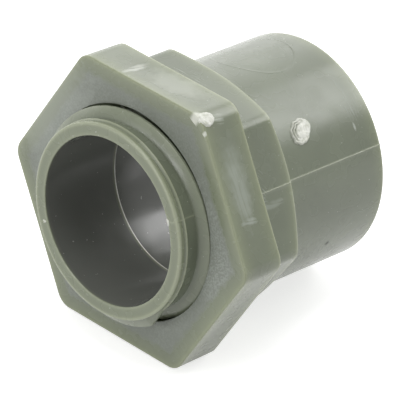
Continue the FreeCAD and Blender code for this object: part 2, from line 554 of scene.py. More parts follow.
@dataclass(frozen=True)
class MouldedPvc:
    """Moulded grey green PVC with painted light: lighter and yellower at the edges, as a painted glow of
    light through the plastic and painted highlights, and greyer in the bores as painted shade.

    Args:
        name: The material's name.
        pose: How the drawing lies, which turns the patterns with it.
        body: Screen colour of the wall.
        rim: Screen colour of the painted glow in the band beside an edge.
        painted_edge_light: Screen colour of the painted edge light on the edge itself.
        inner: Screen colour of the bores' painted shade, greyer than the wall.
        painted_glint: Screen colour of the painted glint on the sharpest edges.
        dust: Screen colour of the specks.
        grain_face: Height of the face with a spark-eroded grain, or None.
        grain_apothem: Distance from the axis at which that grain stops, towards the flats.
        grain: Screen colours of the grained zone, in its pits and on its tops.
        scuffs_and_sheen: Patches of scratches and smears, some of them painted highlights.
        ring: The line round a mould insert, or None.
        roughness: Roughness of the clean surface.
        smeared: Roughness added by the handling smears.
        polished: Roughness that the bores have less.
        waviness: Height of the slow waves in the surface, in millimetres.
        ripple: Height of its fine ripple, in millimetres.
    """

    name: str
    pose: RestingPose
    body: Shade
    rim: Shade
    painted_edge_light: Shade
    inner: Shade = (117, 119, 113)
    painted_glint: Shade = (238, 238, 228)
    dust: Shade = (214, 217, 208)
    grain_face: float | None = None
    grain_apothem: float = 12.0
    grain: tuple[Shade, Shade] = ((122, 127, 118), (154, 159, 152))
    scuffs_and_sheen: tuple[ScuffOrSheen, ...] = ()
    ring: InsertRing | None = None
    roughness: float = 0.23
    smeared: float = 0.07
    polished: float = 0.08
    waviness: float = 0.014
    ripple: float = 0.0002

    def build(self) -> bpy.types.Material:
        """Make the material.

        Returns:
            The material, with its nodes.
        """
        patch_roughness, patch_relief = 0.3, 0.015
        material, sheet = empty_material(self.name)
        where = self._upright(sheet)
        inner = sheet.attribute("inner")
        colour = self._tinted(sheet, where, inner)
        smear = sheet.between(sheet.noise(where, 0.6, 1.0), 0.3, 0.75)
        rough = sheet.math("MULTIPLY_ADD", smear, self.smeared, self.roughness)
        rough = sheet.math("MULTIPLY_ADD", inner, -self.polished, rough)
        relief = sheet.math("MULTIPLY", sheet.noise(where, 0.3, 1.0), self.waviness)
        ripple = sheet.math("MULTIPLY", sheet.noise(where, 3.0, 3.0), self.ripple)
        relief = sheet.math("ADD", relief, ripple)
        if self.grain_face is not None:
            colour, rough, relief = self._grained(sheet, where, colour, rough, relief)
        if self.ring is not None:
            relief = sheet.math("ADD", relief, self.ring.relief(sheet, where))
        # Patches of scratches and smears, painted highlights among them
        for scuff_or_sheen in self.scuffs_and_sheen:
            cover = scuff_or_sheen.cover(sheet, where)
            colour = sheet.mix(cover, colour, srgb(*scuff_or_sheen.colour))
            rough = sheet.math("MULTIPLY_ADD", cover, patch_roughness, rough)
            relief = sheet.math("MULTIPLY_ADD", cover, patch_relief, relief)
        bump = sheet.add("ShaderNodeBump", {"Strength": 1.0, "Distance": MM, "Height": relief})
        shader = sheet.add("ShaderNodeBsdfPrincipled", {
            "Base Color": colour, "Roughness": rough, "Normal": bump.outputs["Normal"],
            "IOR": 1.53, "Specular IOR Level": 0.5,
        })
        sheet.add("ShaderNodeOutputMaterial", {"Surface": shader.outputs["BSDF"]})
        return material

    def _upright(self, sheet: NodeSheet) -> bpy.types.NodeSocket:
        """Turn Object coordinates back upright.

        Args:
            sheet: The material's sheet.

        Returns:
            Upright coordinates in millimetres.
        """
        place = sheet.add("ShaderNodeTexCoord").outputs["Object"]
        upright = sheet.add("ShaderNodeMapping", {"Vector": place}, vector_type="POINT")
        upright.inputs["Rotation"].default_value = (math.pi / 2 + self.pose.lean, 0, 0)
        upright.inputs["Scale"].default_value = (1 / MM, 1 / MM, 1 / MM)
        return upright.outputs["Vector"]

    def _tinted(
        self, sheet: NodeSheet, where: bpy.types.NodeSocket, inner: bpy.types.NodeSocket
    ) -> bpy.types.NodeSocket:
        """Wall colour with its slow clouding, its painted edge light, its painted shade in the bores, its
        painted glint and its specks of dust.

        Args:
            sheet: The material's sheet.
            where: Upright coordinates in millimetres.
            inner: 1 in the bores, else 0.

        Returns:
            The colour.
        """
        deep, pale = srgb(*self.body, shaded=0.95), srgb(*self.body, shaded=1.05)
        cloud = sheet.between(sheet.noise(where, 0.16, 2.0), 0.35, 0.65)
        dust = sheet.between(sheet.noise(where, 3.6, 1.0), 0.768, 0.795)
        edge = sheet.attribute("edge")
        painted_edge_light = sheet.math("MINIMUM", sheet.math("MULTIPLY", edge, 0.6), 1.0)
        colour = sheet.mix(cloud, deep, pale)
        # Painted edge light: a lighter band beside edges and a lighter, yellower edge, for light through
        # the plastic and for highlights on rounds, crests and parting lines
        colour = sheet.mix(sheet.math("MULTIPLY", sheet.attribute("rim"), 0.6), colour, srgb(*self.rim))
        # Painted shade in the bores: a greyer colour there
        colour = sheet.mix(inner, colour, srgb(*self.inner))
        colour = sheet.mix(painted_edge_light, colour, srgb(*self.painted_edge_light))
        # Painted glint: near white where the edge mark passes 1.1
        colour = sheet.mix(sheet.between(edge, 1.1, 1.7), colour, srgb(*self.painted_glint))
        return sheet.mix(sheet.math("MULTIPLY", dust, 0.6), colour, srgb(*self.dust))

    def _grained(
        self, sheet: NodeSheet, where: bpy.types.NodeSocket, colour: bpy.types.NodeSocket,
        rough: bpy.types.NodeSocket, relief: bpy.types.NodeSocket,
    ) -> tuple[bpy.types.NodeSocket, bpy.types.NodeSocket, bpy.types.NodeSocket]:
        """Add the grained zone of the front face to a finish.

        Args:
            sheet: The material's sheet.
            where: Upright coordinates in millimetres.
            colour: Colour so far.
            rough: Roughness so far.
            relief: Height so far, in millimetres.

        Returns:
            The colour, the roughness and the height with the grain in them.
        """
        faded, full, face_depth, covered = 0.75, 0.15, (0.12, 0.05), 0.92
        grain_roughness, grain_relief = 0.22, 0.03
        x, y, z = sheet.split(where)
        reach = None
        for step in range(3):
            angle = HEX_STEP * (step + 0.5)
            across = sheet.math("MULTIPLY", x, math.cos(angle))
            across = sheet.math("ABSOLUTE", sheet.math("MULTIPLY_ADD", y, math.sin(angle), across))
            reach = across if reach is None else sheet.math("MAXIMUM", reach, across)
        wander = sheet.math("MULTIPLY", sheet.noise(where, 1.4, 4.0), 0.9)
        reach = sheet.math("ADD", reach, wander)
        inside = sheet.between(reach, self.grain_apothem + faded, self.grain_apothem + full)
        near_face = sheet.math("ABSOLUTE", sheet.math("SUBTRACT", z, self.grain_face))
        mask = sheet.math("MULTIPLY", inside, sheet.between(near_face, *face_depth))
        speckle = sheet.noise(where, 4.6, 5.0)
        worn = sheet.between(sheet.noise(where, 0.13, 2.0), 0.38, 0.6)
        tops = sheet.math("MULTIPLY_ADD", worn, 0.55, 0.3)
        tops = sheet.math("MULTIPLY", sheet.between(speckle, 0.42, 0.64), tops)
        tops = sheet.math("MULTIPLY_ADD", worn, 0.25, tops)
        pitted = sheet.mix(tops, *(srgb(*shade) for shade in self.grain))
        colour = sheet.mix(sheet.math("MULTIPLY", mask, covered), colour, pitted)
        rough = sheet.math("MULTIPLY_ADD", mask, grain_roughness, rough)
        relief = sheet.math("MULTIPLY_ADD", sheet.math("MULTIPLY", mask, speckle), grain_relief, relief)
        return colour, rough, relief


@dataclass(frozen=True)
class TornPlastic:
    """Dry plastic, turned white where a gate or flash was torn off, with painted shade in the hollows
    between its flakes.

    Args:
        name: The material's name.
        fibres: Screen colours of the torn fibres.
        hollow: Screen colour between two flakes, a darker green as painted shade in the crevice.
        roughness: Its roughness.
        relief: Height of the fibres, in millimetres.
    """

    name: str
    fibres: tuple[Shade, Shade] = ((202, 205, 190), (238, 239, 230))
    hollow: Shade = (112, 118, 101)
    roughness: float = 0.5
    relief: float = 0.05

    def build(self) -> bpy.types.Material:
        """Make the material.

        Returns:
            The material, with its nodes.
        """
        material, sheet = empty_material(self.name)
        place = sheet.add("ShaderNodeTexCoord").outputs["Object"]
        streak = sheet.between(sheet.noise(place, 2.2 / MM, 4.0), 0.3, 0.6)
        colour = sheet.mix(streak, *(srgb(*shade) for shade in self.fibres))
        # Painted shade: a darker green in the hollows between the flakes
        hollow = sheet.math("MULTIPLY", sheet.attribute("hollow"), 0.85)
        colour = sheet.mix(hollow, colour, srgb(*self.hollow))
        height = sheet.math("MULTIPLY", sheet.noise(place, 2.6 / MM, 4.0), self.relief)
        bump = sheet.add("ShaderNodeBump", {"Strength": 1.0, "Distance": MM, "Height": height})
        shader = sheet.add("ShaderNodeBsdfPrincipled", {
            "Base Color": colour, "Roughness": self.roughness, "Normal": bump.outputs["Normal"],
            "IOR": 1.5,
        })
        sheet.add("ShaderNodeOutputMaterial", {"Surface": shader.outputs["BSDF"]})
        return material


@dataclass
class Dresser:
    """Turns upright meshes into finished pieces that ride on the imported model."""

    pose: RestingPose

    def piece(
        self, name: str, mesh: bpy.types.Mesh, body: Body, slot: Slot, material: bpy.types.Material
    ) -> bpy.types.Object:
        """Lay a mesh down, dress it and let it ride on its body.

        Args:
            name: The piece's name.
            mesh: The mesh, upright and in millimetres.
            body: The body that carries it.
            slot: The record's slot for its finish; not used.
            material: Its material.

        Returns:
            The finished piece, its object at the origin.
        """
        mesh.transform(self.pose.matrix())
        mesh.materials.clear()
        mesh.materials.append(material)
        piece = bpy.data.objects.new(name, mesh)
        bpy.context.scene.collection.objects.link(piece)
        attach(piece, body.value)
        log.info("%s: %d faces", name, len(mesh.polygons))
        return piece


@dataclass
class RidgeTree:
    """Geometry nodes that sweep a thread ridge along its helix.

    Args:
        name: The tree's name.
        resolution: Points on one turn of the helix.
        edge_round: Radius of the ridge's rounded edges, in millimetres.
        round_points: Points round each of those edges.
    """

    name: str = "thread_ridge_tree"
    resolution: int = 288
    edge_round: float = 0.07
    round_points: int = 3
    tree: bpy.types.GeometryNodeTree = field(init=False)

    NUMBERS = (
        "Crest Radius", "Base Radius", "Crest Width", "Base Width", "Pitch", "Turns",
        "Profile Turn", "Run-in Radius", "Cone Radius", "Low Plane", "High Plane", "Crest Light",
    )

    def __post_init__(self) -> None:
        """Build the tree."""
        self.tree = bpy.data.node_groups.new(self.name, "GeometryNodeTree")
        face = self.tree.interface
        face.new_socket("Geometry", in_out="OUTPUT", socket_type="NodeSocketGeometry")
        for label in self.NUMBERS:
            face.new_socket(label, in_out="INPUT", socket_type="NodeSocketFloat")
        face.new_socket("Material", in_out="INPUT", socket_type="NodeSocketMaterial")
        sheet = NodeSheet(self.tree)
        given = sheet.add("NodeGroupInput").outputs
        ridge = self._swept(sheet, given)
        ridge = self._trimmed(sheet, given, ridge)
        smooth = sheet.add("GeometryNodeSetShadeSmooth", {"Geometry": ridge})
        whole = sheet.add("GeometryNodeRealizeInstances", {"Geometry": smooth.outputs[0]})
        dressed = sheet.add(
            "GeometryNodeSetMaterial", {"Geometry": whole.outputs[0], "Material": given["Material"]}
        )
        sheet.add("NodeGroupOutput", {"Geometry": dressed.outputs[0]})

    def _swept(self, sheet: NodeSheet, given: bpy.types.NodeOutputs) -> bpy.types.NodeSocket:
        """Sweep the ridge's section along the helix and keep each ring's run in an attribute.

        Args:
            sheet: The tree's sheet.
            given: The tree's inputs.

        Returns:
            The ridge, its helix starting at angle 0 and height 0.
        """
        height = sheet.math("ABSOLUTE", sheet.math("SUBTRACT", given["Crest Radius"], given["Base Radius"]))
        middle = sheet.math("MULTIPLY", sheet.math("ADD", given["Crest Radius"], given["Base Radius"]), 0.5)
        rise = sheet.math("MULTIPLY", given["Pitch"], given["Turns"])
        helix = sheet.add("GeometryNodeCurveSpiral", {
            "Resolution": self.resolution, "Rotations": given["Turns"], "Start Radius": middle,
            "End Radius": middle, "Height": rise, "Reverse": True,
        })
        upright = sheet.add("GeometryNodeSetCurveNormal", {"Curve": helix.outputs[0]})
        upright.mode = "Z_UP"
        height_now = sheet.split(sheet.add("GeometryNodeInputPosition").outputs[0])["Z"]
        run = sheet.math("MULTIPLY", sheet.math("DIVIDE", height_now, given["Pitch"]), TURN)
        kept = sheet.add("GeometryNodeStoreNamedAttribute", {
            "Geometry": upright.outputs[0], "Name": "run", "Value": run,
        }, data_type="FLOAT", domain="POINT")
        section = sheet.add("GeometryNodeCurvePrimitiveQuadrilateral", {
            "Bottom Width": given["Base Width"], "Top Width": given["Crest Width"], "Height": height,
            "Offset": 0.0,
        }, mode="TRAPEZOID")
        eased = sheet.add("GeometryNodeFilletCurve", {
            "Curve": section.outputs[0], "Radius": self.edge_round, "Count": self.round_points,
        }, mode="POLY")
        facing = sheet.add("ShaderNodeCombineXYZ", {"Z": given["Profile Turn"]}).outputs[0]
        placed = sheet.add("GeometryNodeTransform", {"Geometry": eased.outputs[0], "Rotation": facing})
        swept = sheet.add("GeometryNodeCurveToMesh", {
            "Curve": kept.outputs[0], "Profile Curve": placed.outputs[0], "Fill Caps": True,
        })
        return swept.outputs[0]

    def _trimmed(
        self, sheet: NodeSheet, given: bpy.types.NodeOutputs, ridge: bpy.types.NodeSocket
    ) -> bpy.types.NodeSocket:
        """Hold the ridge between two planes, within the flat of its run-in and clear of the end cones.

        Args:
            sheet: The tree's sheet.
            given: The tree's inputs.
            ridge: The swept ridge.

        Returns:
            The ridge, with its light on the crest in an attribute.
        """
        run_in_end, crest_band = 1.2, (0.1, 0.02)
        x, y, z = sheet.split(sheet.add("GeometryNodeInputPosition").outputs[0])
        radius = sheet.length(y, x)
        run = sheet.add("GeometryNodeInputNamedAttribute", {"Name": "run"}, data_type="FLOAT").outputs[0]
        slope = sheet.math("COSINE", sheet.math("MINIMUM", run, run_in_end))
        most = sheet.math("DIVIDE", given["Run-in Radius"], slope)
        level = sheet.math("MINIMUM", z, given["High Plane"])
        level = sheet.math("MAXIMUM", level, given["Low Plane"])
        inset = sheet.math(
            "MINIMUM", sheet.math("SUBTRACT", level, given["Low Plane"]),
            sheet.math("SUBTRACT", given["High Plane"], level),
        )
        least = sheet.math("SUBTRACT", given["Cone Radius"], inset)
        wanted = sheet.math("MAXIMUM", sheet.math("MINIMUM", radius, most), least)
        share = sheet.math("DIVIDE", wanted, radius)
        # Painted highlight along the crest, kept as edge light
        off_crest = sheet.math("ABSOLUTE", sheet.math("SUBTRACT", radius, given["Crest Radius"]))
        lit = sheet.math("MULTIPLY", sheet.between(off_crest, *crest_band), given["Crest Light"])
        ridge = sheet.add("GeometryNodeStoreNamedAttribute", {
            "Geometry": ridge, "Name": "edge", "Value": lit,
        }, data_type="FLOAT", domain="POINT").outputs[0]
        moved = sheet.add("ShaderNodeCombineXYZ", {
            "X": sheet.math("MULTIPLY", x, share), "Y": sheet.math("MULTIPLY", y, share), "Z": level,
        })
        return sheet.add(
            "GeometryNodeSetPosition", {"Geometry": ridge, "Position": moved.outputs[0]}
        ).outputs[0]

    def make(self, name: str, sizes: dict[str, float], material: bpy.types.Material) -> bpy.types.Mesh:
        """Make one ridge as a plain mesh.

        Args:
            name: The mesh's name.
            sizes: A value for each of the tree's numbers.
            material: The ridge's material.

        Returns:
            The mesh, upright, its helix starting at angle 0 and height 0.
        """
        holder = bpy.data.objects.new(name + "_helix", bpy.data.meshes.new(name + "_empty"))
        bpy.context.scene.collection.objects.link(holder)
        modifier = holder.modifiers.new("Ridge", "NODES")
        modifier.node_group = self.tree
        for item in self.tree.interface.items_tree:
            if item.in_out == "INPUT":
                modifier[item.identifier] = material if item.name == "Material" else sizes[item.name]
        graph = bpy.context.evaluated_depsgraph_get()
        mesh = bpy.data.meshes.new_from_object(holder.evaluated_get(graph))
        mesh.name = name
        holder.modifiers.remove(modifier)
        bpy.data.objects.remove(holder)
        return mesh


@dataclass
class TornGate:
    """The rough stub that a torn gate leaves on a surface.

    Args:
        centre: Its middle, upright, in millimetres.
        outward: The surface's normal there.
        along: Half its size along the bore.
        around: Half its size across the bore.
        height: How far it stands proud.
        wall_r: Radius of the round wall that carries it, or None on a flat one.
        seed: Picks its ragged outline.
        flaked: Direction of the side that peels in flakes, in degrees from around, or None.
        skew: Shift along the bore for each millimetre around.
        spokes: Points round the outline.
        rings: Rings of points from the middle to the outline.
        sunk: Depth of its underside in the wall.
        flake: Width of one flake, as a share of the reach.
    """

    centre: Vector
    outward: Vector
    along: float
    around: float
    height: float
    wall_r: float | None = None
    seed: float = 1.0
    flaked: float | None = None
    skew: float = 0.0
    spokes: int = 72
    rings: int = 26
    sunk: float = 0.25
    flake: float = 0.2

    def mesh(self, name: str) -> bpy.types.Mesh:
        """Make the closed stub, its underside sunk into the wall.

        Args:
            name: The mesh's name.

        Returns:
            The mesh, upright and in millimetres.
        """
        out = self.outward.normalized()
        side = out.cross(Vector((0, 0, 1))).normalized()
        rise = side.cross(out).normalized()
        points = [self.centre + out * self._height(0, 0)]
        hollow = [0.0]
        for ring in range(1, self.rings + 2):
            share = min(ring / self.rings, 1.0)
            for spoke in range(self.spokes):
                angle = TURN * spoke / self.spokes
                reach = share * self._outline(angle)
                x, y = self.around * reach * math.cos(angle), self.along * reach * math.sin(angle)
                y += self.skew * x
                sag = 0.0 if self.wall_r is None else self.wall_r - math.sqrt(self.wall_r**2 - x * x)
                lift = -self.sunk if ring > self.rings else self._height(share, angle)
                points.append(self.centre + side * x + rise * y + out * (lift - sag))
                hollow.append(self._peel(share, angle))
        points.append(self.centre - out * self.sunk)
        hollow.append(0.0)
        faces = self._faces(len(points) - 1)
        mesh = bpy.data.meshes.new(name)
        mesh.from_pydata(points, [], faces)
        mesh.attributes.new("hollow", "FLOAT", "POINT").data.foreach_set("value", hollow)
        mesh.shade_smooth()
        return mesh

    def _outline(self, angle: float) -> float:
        """Reach of the ragged outline, about 1.

        Args:
            angle: Direction from the middle, in radians.

        Returns:
            The reach at that angle.
        """
        spot = Vector((math.cos(angle) * 1.3, math.sin(angle) * 1.3, self.seed))
        ragged = 0.07 + 0.1 * self._flaking(angle)
        return 1 + 0.16 * noise.noise(spot) + ragged * noise.noise(spot * 4) + 0.3 * self._flaking(angle)

    def _flaking(self, angle: float) -> float:
        """How much the side at an angle peels in flakes.

        Args:
            angle: Direction from the middle, in radians.

        Returns:
            The share, from 0 to 1.
        """
        if self.flaked is None:
            return 0.0
        return max(0.0, math.cos(angle - math.radians(self.flaked))) ** 1.5

    def _height(self, share: float, angle: float) -> float:
        """Height of the torn top: a rough plateau with a steep side.

        Args:
            share: Distance from the middle, as a share of the reach.
            angle: Direction from the middle, in radians.

        Returns:
            The height in millimetres.
        """
        steep, peeled = 0.1, 0.95
        spot = Vector((share * math.cos(angle) * 2.2, share * math.sin(angle) * 2.2, self.seed + 7))
        rough = 0.85 + 0.3 * noise.noise(spot) + 0.12 * noise.noise(spot * 3.1)
        side = min(1.0, (1 - share) / steep)
        rough *= 1 - peeled * self._peel(share, angle)
        return self.height * rough * side * side * (3 - 2 * side)

    def _peel(self, share: float, angle: float) -> float:
        """How far the plastic is hollowed between two flakes.

        Args:
            share: Distance from the middle, as a share of the reach.
            angle: Direction from the middle, in radians.

        Returns:
            The depth, from 0 to 1.
        """
        whole = 0.5
        if share < whole:
            return 0.0
        return self._flaking(angle) * (0.5 - 0.5 * math.cos(TURN * (share - whole) / self.flake))

    def _faces(self, last: int) -> list[tuple[int, ...]]:
        """Faces of the top, the side and the underside, facing outwards.

        Args:
            last: Index of the point in the middle of the underside.

        Returns:
            The points of every face.
        """
        faces: list[tuple[int, ...]] = []
        for spoke in range(self.spokes):
            after = (spoke + 1) % self.spokes
            faces.append((0, 1 + spoke, 1 + after))
            for ring in range(self.rings):
                low, high = 1 + ring * self.spokes, 1 + (ring + 1) * self.spokes
                faces.append((low + spoke, high + spoke, high + after, low + after))
            under = 1 + self.rings * self.spokes
            faces.append((under + spoke, last, under + after))
        return faces


@dataclass
class MouldedBody:
    """The one-piece body: spigot, pilot bead, flange, socket and stop.

    Lengths are in millimetres, angles in radians.
    """

    dresser: Dresser
    thread: ThreadSizes
    bore_r: float
    socket_bore_r: float
    torn: bpy.types.Material
    turn: float = math.radians(6.1)
    land_height: float = 0.13
    land_length: float = 0.5
    bead_setback: float = 0.9
    bead_half_width: float = 0.2
    bead_half_crown: float = 0.05
    bead_height: float = 0.2
    flange_apothem: float = 11.75
    flange_thickness: float = 5.25
    flange_corner_round: float = 1.2
    flange_chamfer: float = math.radians(28)
    flange_edge_inset: float = 0.05
    socket_root_r: float = 11.25
    socket_end_r: float = 11.2
    socket_length: float = 12.7
    socket_lead_in: float = 0.6
    stop_setback: float = 1.45
    seams: tuple[float, ...] = (math.radians(-30.3), math.radians(149.7))
    flash_height: float = 0.035
    flash_width: float = 0.09
    flash_light: float = 0.6
    mismatch: float = 0.012
    skin: float = 0.003
    # Spot, reach, slant, strength, fineness, colour and density of each patch
    scuffs_and_sheen: tuple[ScuffOrSheen, ...] = (
        ScuffOrSheen(Side(-46.0, 0.0, 16.0), (2.0, 1.5), 3.0, 0.35, 5.0),
        ScuffOrSheen(Side(-37.0, 0.0, 15.4), (0.6, 0.16), 62.0, 0.5, 5.0, (214, 219, 212), 0.9),
        ScuffOrSheen(Side(-23.9, -0.5, 1.6), (2.2, 0.7), 40.0, 0.3, 6.0),
        ScuffOrSheen(Side(-23.9, 0.6, 1.3), (0.5, 1.1), 80.0, 0.35, 5.0),
        ScuffOrSheen(Side(-23.9, 1.3, 2.4), (0.5, 2.4), 84.0, 0.28, 2.5, (188, 195, 186), 0.8),
        ScuffOrSheen(Side(20.9, 0.0, 11.6), (0.4, 0.35), 50.0, 0.9, 0.0, (58, 62, 52)),
        ScuffOrSheen(Side(-83.9, -1.5, 2.5), (3.0, 1.2), 10.0, 0.3, 5.0),
    )
    ring: InsertRing = InsertRing(Side(-114.5, 2.75, 11.95), 4.0, rise=0.018)
    plastic: bpy.types.Material = field(init=False)

    def __post_init__(self) -> None:
        """Mix the body's plastic."""
        self.plastic = MouldedPvc(
            "body_pvc", self.dresser.pose, (117, 124, 106), (140, 147, 120), (178, 184, 156),
            scuffs_and_sheen=self.scuffs_and_sheen, ring=self.ring,
        ).build()

    def dress(self, ridges: RidgeTree) -> None:
        """Make every piece of the body.

        Args:
            ridges: The tree that sweeps thread ridges.
        """
        shell = self.dresser.piece(
            "moulded_body", self._shell(), Body.CONNECTOR, Slot.CONNECTOR, self.plastic
        )
        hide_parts(Body.CONNECTOR.value)
        self.dresser.piece(
            "spigot_thread", self._thread(ridges), Body.CONNECTOR, Slot.CONNECTOR, self.plastic
        )
        for name, scar in self._scars().items():
            self.dresser.piece(name, scar.mesh(name), Body.CONNECTOR, Slot.CONNECTOR, self.torn)

    def _shell(self) -> bpy.types.Mesh:
        """Make the whole moulding except its thread.

        Returns:
            The mesh, upright, with the light at its edges and its bores in attributes.
        """
        corner_span, mouth_edge, margin = math.radians(4.5), 0.1, 0.05
        angles = column_angles(corner_span, self.seams)
        loft = Loft(angles, self._bends(angles))
        past_mouth = loft.z > -self.thread.spigot_length + mouth_edge
        in_bores = (loft.r < self.socket_bore_r + margin) * past_mouth
        # Marks the bores, for their painted shade and their lower roughness
        loft.marks["inner"] = 1.0 * in_bores
        loft.r = loft.r + self._relief(loft)
        for seam in self.seams:
            # Painted highlight along each parting line's flash, kept as edge light
            light = self.flash_light * self._flash(self._across(loft, seam)) * ~in_bores
            loft.marks["edge"] = np.maximum(loft.marks["edge"], light)
        return loft.mesh("moulded_body", self.turn)

    def _across(self, loft: Loft, seam: float) -> np.ndarray:
        """Distance of every point from a parting line, measured round the axis."""
        return ((loft.angles - seam + math.pi) % TURN - math.pi) * loft.r

    def _flash(self, across: np.ndarray) -> np.ndarray:
        """Section of the parting line's flash, 1 on the line itself."""
        return np.exp(-((across / self.flash_width) ** 2))

    def _bends(self, angles: np.ndarray) -> list[Bend]:
        """Corners of the section, from the mouth's inner edge outwards and back through the bores.

        Args:
            angles: The columns' angles, in radians.

        Returns:
            The corners, in order.
        """
        mouth, root_r = -self.thread.spigot_length + self.skin, self.thread.root_r
        bead = mouth + self.bead_setback
        bead_r, land_r = root_r + self.bead_height, root_r + self.land_height
        land_end = mouth + self.land_length
        socket_end = self.flange_thickness + self.socket_length
        hexagon = hexagon_radius(angles, self.flange_apothem, self.flange_corner_round)
        cone_r = self.flange_apothem - self.flange_edge_inset
        cone_start = self.flange_thickness - (hexagon - cone_r) * math.tan(self.flange_chamfer)
        return [
            Bend(self.bore_r, mouth, 0.12, rows=8, edge=0.35),
            Bend(land_r, mouth, 0.2, rows=4, edge=0.9),
            Bend(land_r, land_end, 0.04, rows=1, edge=0.4, rim=0.0),
            Bend(root_r, land_end + self.land_height, 0.04, rows=0, edge=0.0),
            Bend(root_r, bead - self.bead_half_width, 0.03, rows=1, edge=0.0),
            Bend(bead_r, bead - self.bead_half_crown, 0.04, rows=0, edge=0.9, rim=0.0),
            Bend(bead_r, bead + self.bead_half_crown, 0.04, rows=1, edge=0.9, rim=0.0),
            Bend(root_r, bead + self.bead_half_width, 0.05, rows=12, edge=0.0),
            Bend(root_r, 0, 0.1, rows=3, edge=0.0),
            Bend(hexagon, 0, 0.12, rows=10),
            Bend(hexagon, cone_start, 0.12, rows=2),
            Bend(cone_r, self.flange_thickness, 0.06, rows=1, edge=0.0),
            Bend(self.socket_root_r, self.flange_thickness, 0.12, rows=24, edge=0.0),
            Bend(self.socket_end_r, socket_end, 0.12, rows=4, edge=0.7),
            Bend(self.socket_bore_r + self.socket_lead_in, socket_end, 0.05, rows=1),
            Bend(self.socket_bore_r, socket_end - self.socket_lead_in, 0.1, rows=14, edge=0.0),
            Bend(self.socket_bore_r, self.stop_setback, 0.1, rows=1, edge=0.0),
            # The stop's step gets a painted glint on its round
            Bend(self.bore_r, self.stop_setback, 0.15, rows=14, edge=1.8, rim=0.0),
        ]

    def _relief(self, loft: Loft) -> np.ndarray:
        """Raised flash along both parting lines, and the small shift of one mould half.

        Args:
            loft: The plain sections.

        Returns:
            Height above the plain wall at every point.
        """
        shift_reach, into_wall = 0.8, 0.2
        outside = loft.r > self.thread.root_r - into_wall
        relief = np.zeros_like(loft.r)
        for seam in self.seams:
            across = self._across(loft, seam)
            relief += self.flash_height * self._flash(across)
            relief += self.mismatch * np.sign(across) * np.exp(-np.abs(across) / shift_reach)
        return relief * outside

    def _thread(self, ridges: RidgeTree) -> bpy.types.Mesh:
        """Make the spigot's thread ridge.

        Args:
            ridges: The tree that sweeps thread ridges.

        Returns:
            The mesh, upright and turned with the body.
        """
        thread, buried, into_flange, clear_below = self.thread, 0.3, 0.4, 2.0
        low = -thread.spigot_length + thread.start_setback
        height = thread.depth + buried
        mesh = ridges.make("spigot_thread", {
            "Crest Radius": thread.crest_r, "Base Radius": thread.root_r - buried,
            "Crest Width": thread.crest_width, "Base Width": thread.base_width(height),
            "Pitch": thread.pitch, "Turns": -low / thread.pitch, "Profile Turn": ThreadSide.OUTWARD.value,
            "Run-in Radius": thread.root_r, "Cone Radius": 0.0, "Low Plane": -clear_below,
            "High Plane": into_flange - low, "Crest Light": 0.4,
        }, self.plastic)
        turn = Matrix.Rotation(self.turn + math.radians(thread.start_angle), 4, "Z")
        mesh.transform(Matrix.Translation((0, 0, low)) @ turn)
        return mesh

    def _scars(self) -> dict[str, TornGate]:
        """The torn gate on the socket's side, and the flash left on the mouth at both parting lines.

        Returns:
            Each scar by the name of its piece.
        """
        gate_side, gate_height, buried = math.radians(-44.2), 9.0, 0.01
        out = Vector((math.cos(gate_side), math.sin(gate_side), 0))
        wall_r = self.socket_root_r - buried
        gate_middle = out * wall_r + Vector((0, 0, gate_height))
        mouth = -self.thread.spigot_length
        near, far = (Vector((math.cos(a + self.turn), math.sin(a + self.turn), 0)) for a in self.seams)
        near_edge = near * (self.bore_r + 0.05) + Vector((0, 0, mouth + 0.1))
        far_face = far * (self.bore_r + 0.6) + Vector((0, 0, mouth + 0.05))
        return {
            "socket_gate_scar": TornGate(
                gate_middle, out, along=1.12, around=1.22, height=0.24, wall_r=wall_r, seed=3.0,
                flaked=-70.0, skew=0.4,
            ),
            "near_mouth_flash": TornGate(
                near_edge, -near - Vector((0, 0, 1.2)), along=0.22, around=0.4, height=0.12, seed=8.0
            ),
            "far_mouth_flash": TornGate(
                far_face, far * 0.2 - Vector((0, 0, 1)), along=0.34, around=0.16, height=0.06, seed=2.0
            ),
        }


